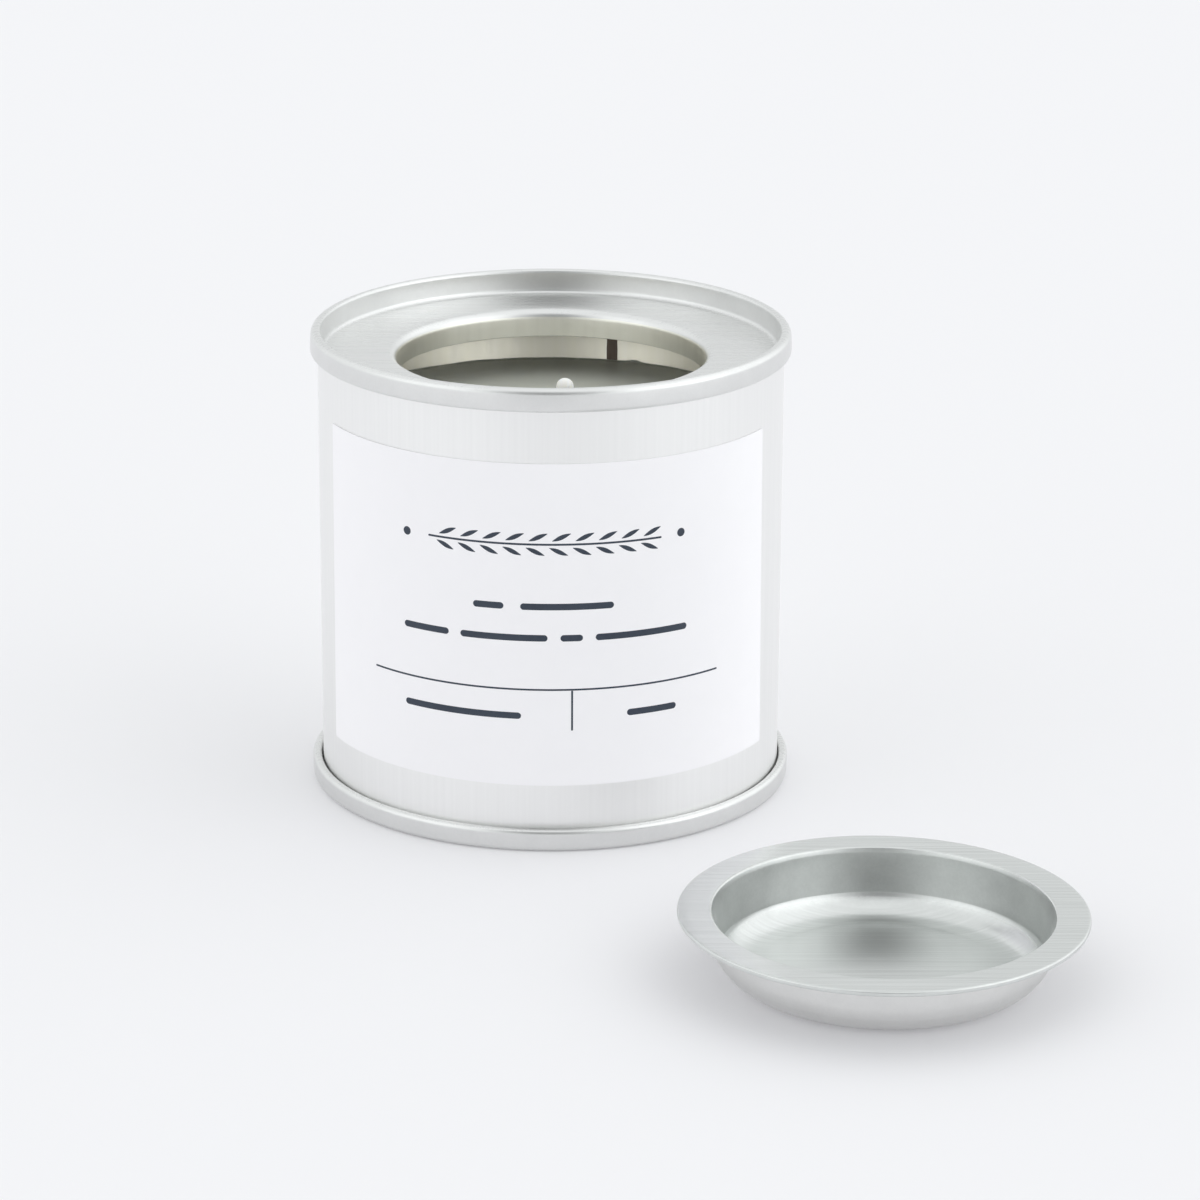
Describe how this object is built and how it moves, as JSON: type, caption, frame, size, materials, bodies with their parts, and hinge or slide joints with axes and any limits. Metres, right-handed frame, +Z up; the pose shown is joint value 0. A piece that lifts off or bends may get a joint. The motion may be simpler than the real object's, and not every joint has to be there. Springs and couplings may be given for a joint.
{
  "type": "candle tin",
  "caption": "Round tinplate candle tin with a plug-in lever lid lying beside it, a soy wax fill with a wick, and a plain paper label round the front.",
  "frame": {"origin": "centre of the tin's base, on the surface that it stands on", "axes": "+Z up along the tin's axis, -Y towards the front, where the label is, and +X to the right; the loose lid lies in front and to the right"},
  "size_m": [0.0951, 0.1254, 0.0603],
  "materials": {
    "body_tinplate": "satin tinplate with a faint upright grain",
    "pressed_tinplate": "satin tinplate",
    "lid_tinplate": "satin tinplate with a fine straight rolling grain",
    "foot_steel": "plain zinc-coated steel",
    "brown_lacquer": "brown side seam lacquer",
    "lining_compound": "matte grey seam lining",
    "label_paper": "smooth matt white paper with a dark blue-grey print of bars and rules",
    "soy_wax": "soft satin off-white soy wax",
    "cotton_wick": "braided cotton, coated in wax",
    "sticker_foam": "white foam adhesive pad"
  },
  "bodies": {
    "tin": {"body_shell": "body_tinplate", "side_seam_lacquer": "brown_lacquer", "top_ring": "pressed_tinplate", "bottom_end": "pressed_tinplate", "top_seam_compound": "lining_compound", "bottom_seam_compound": "lining_compound", "label": "label_paper", "wax": "soy_wax", "wick": "cotton_wick", "wick_sustainer": "foot_steel", "wick_sticker": "sticker_foam"},
    "lid": {"lid": "lid_tinplate"}
  },
  "joints": [
    {"name": "lid_lift", "type": "slide", "parent": "tin", "child": "lid", "axis": [0, 0, 1], "range_m": [0, 0.075]}
  ]
}
